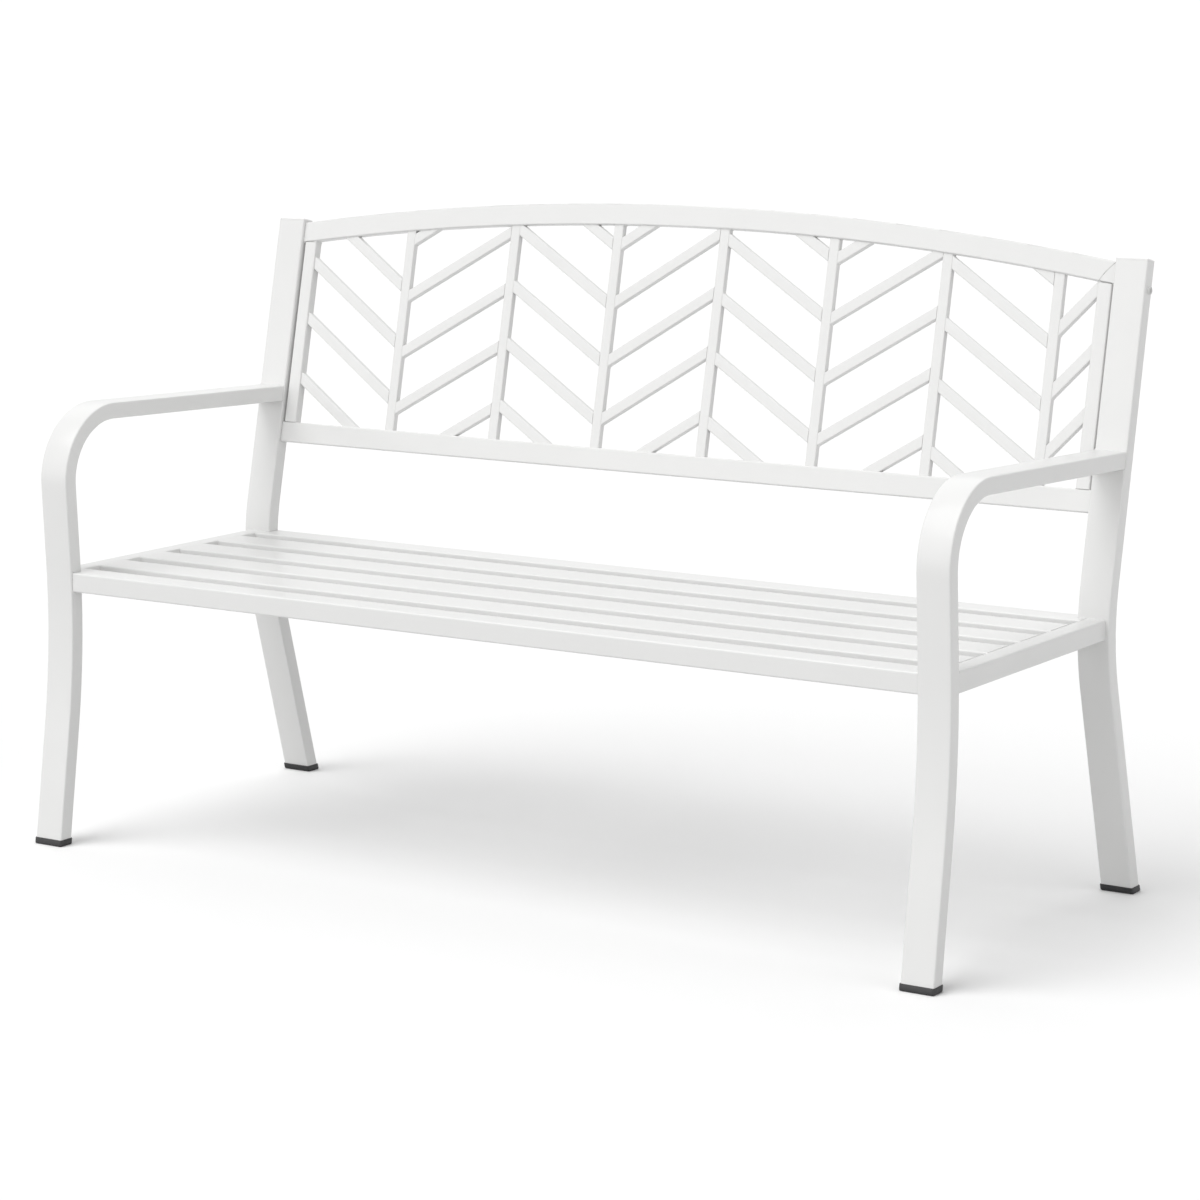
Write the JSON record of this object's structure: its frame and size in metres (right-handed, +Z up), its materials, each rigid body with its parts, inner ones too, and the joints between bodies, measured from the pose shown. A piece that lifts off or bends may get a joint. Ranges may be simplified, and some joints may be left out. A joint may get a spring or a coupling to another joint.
{
  "type": "garden bench",
  "caption": "Steel garden bench with bent tube legs running into armrests, a slatted seat and an arched back filled with upright bars and chevron tubes.",
  "frame": {"origin": "on the floor, at the middle of the bench's bounding box", "axes": "+X along the seat to the right of a person facing the bench, +Y to the back, +Z up"},
  "size_m": [1.406, 0.6006, 0.88],
  "materials": {
    "frame_paint": "semi-gloss white powder coat",
    "lid_plastic": "satin white",
    "bolt_paint": "white painted",
    "foot_plastic": "matt black"
  },
  "bodies": {
    "root": {"left_leg_armrest": "frame_paint", "right_leg_armrest": "frame_paint", "left_back_post": "frame_paint", "right_back_post": "frame_paint", "front_left_foot_cap": "foot_plastic", "front_right_foot_cap": "foot_plastic", "rear_left_foot_cap": "foot_plastic", "rear_right_foot_cap": "foot_plastic", "left_post_lid": "lid_plastic", "right_post_lid": "lid_plastic", "left_side_rail": "frame_paint", "right_side_rail": "frame_paint", "front_seat_rail": "frame_paint", "rear_seat_rail": "frame_paint", "seat_centre_strap": "frame_paint", "seat_slat_1": "frame_paint", "seat_slat_2": "frame_paint", "seat_slat_3": "frame_paint", "seat_slat_4": "frame_paint", "back_top_rail": "frame_paint", "back_bottom_rail": "frame_paint", "left_back_stile": "frame_paint", "right_back_stile": "frame_paint", "back_bar_1": "frame_paint", "back_bar_2": "frame_paint", "back_bar_3": "frame_paint", "back_bar_4": "frame_paint", "back_bar_5": "frame_paint", "back_bar_6": "frame_paint", "back_bar_7": "frame_paint", "chevron_bay_1": "frame_paint", "chevron_bay_2": "frame_paint", "chevron_bay_3": "frame_paint", "chevron_bay_4": "frame_paint", "chevron_bay_5": "frame_paint", "chevron_bay_6": "frame_paint", "chevron_bay_7": "frame_paint", "chevron_bay_8": "frame_paint", "panel_bolts": "bolt_paint"}
  },
  "joints": []
}
